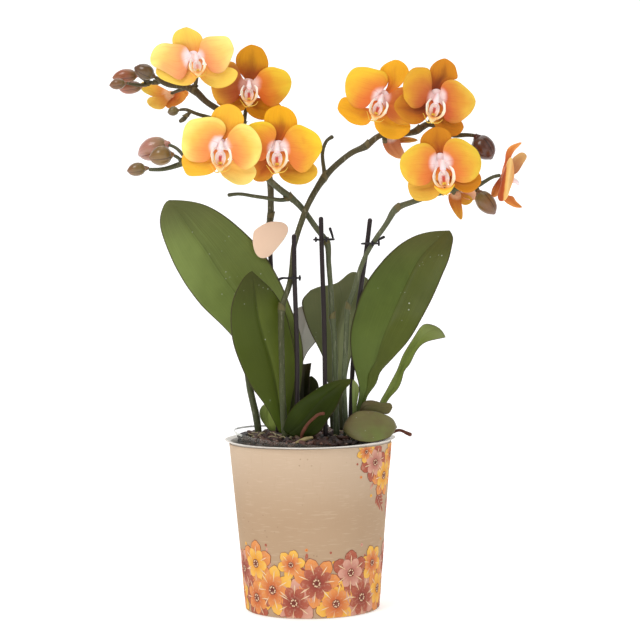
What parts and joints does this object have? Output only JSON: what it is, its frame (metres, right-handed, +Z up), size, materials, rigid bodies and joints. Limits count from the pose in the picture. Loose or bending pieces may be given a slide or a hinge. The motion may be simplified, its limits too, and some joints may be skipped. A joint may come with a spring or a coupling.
{
  "type": "potted moth orchid",
  "caption": "Potted moth orchid: arching spikes of orange blooms and buds above broad waxy leaves, staked, in a tapered kraft card pot cover with a white lip.",
  "frame": {"origin": "centre of the flat round base that the pot stands on", "axes": "+Z up along the pot's axis, -Y towards the front from which the flowers are seen, +X to the viewer's right"},
  "size_m": [0.255, 0.1048, 0.3536],
  "materials": {
    "kraft_card": null,
    "white_plastic": "satin white",
    "clear_plastic": "clear, slightly milky",
    "bark": "rough dark brown chips",
    "stem": "satin grey-green",
    "stake": "dark purple-brown",
    "clip": "black satin",
    "label_card": "smooth peach card, blank",
    "leaf": "waxy mid green, darker upper side",
    "leaf_pale": "pale grey-green underside",
    "root_red": "dull reddish brown",
    "root_tan": "dull tan",
    "petal": "soft satin, yellow to orange with coral shading",
    "lip": "cream to pale pink with red-orange throat and yellow tip",
    "bud_red": "satin reddish brown",
    "bud_olive": "satin olive brown",
    "bud_dark": "satin dark maroon"
  },
  "bodies": {
    "root": {"bark_mix": "bark", "bud_drooping": "bud_olive", "bud_low_left": "bud_olive", "bud_maroon": "bud_dark", "bud_olive": "bud_olive", "bud_pink": "bud_red", "bud_round_brown": "bud_olive", "bud_tiny": "bud_olive", "bud_tip_lower": "bud_red", "bud_tip_small": "bud_olive", "bud_tip_upper": "bud_red", "card_cover": "kraft_card", "clip_centre": "clip", "clip_left": "clip", "clip_right": "clip", "flower_10_hidden": "petal", "flower_11_hidden": "petal", "flower_1_lip": "lip", "flower_1_tepals": "petal", "flower_2_lip": "lip", "flower_2_tepals": "petal", "flower_3_lip": "lip", "flower_3_tepals": "petal", "flower_4_lip": "lip", "flower_4_tepals": "petal", "flower_5_lip": "lip", "flower_5_tepals": "petal", "flower_6_lip": "lip", "flower_6_tepals": "petal", "flower_7_lip": "lip", "flower_7_tepals": "petal", "flower_8_side": "petal", "flower_9_hidden": "petal", "grow_pot": "clear_plastic", "label_blank": "label_card", "leaf_back_broad": "leaf", "leaf_back_left": "leaf_pale", "leaf_cut_stub": "leaf", "leaf_front_centre": "leaf", "leaf_front_left": "leaf", "leaf_left_large": "leaf", "leaf_right_curled": "leaf", "leaf_right_large": "leaf", "leaf_rim_round": "leaf", "leaf_sheath_right": "leaf", "leaf_small_centre": "leaf", "leaf_small_left": "leaf", "leaf_tucked_right": "leaf", "pot_liner": "white_plastic", "root_red_arc": "root_red", "root_red_right": "root_red", "root_tan": "root_tan", "spike_a": "stem", "spike_b": "stem", "spike_c": "stem", "spike_d": "stem", "stake_centre": "stake", "stake_label": "stake", "stake_left": "stake", "stake_right": "stake"}
  },
  "joints": []
}
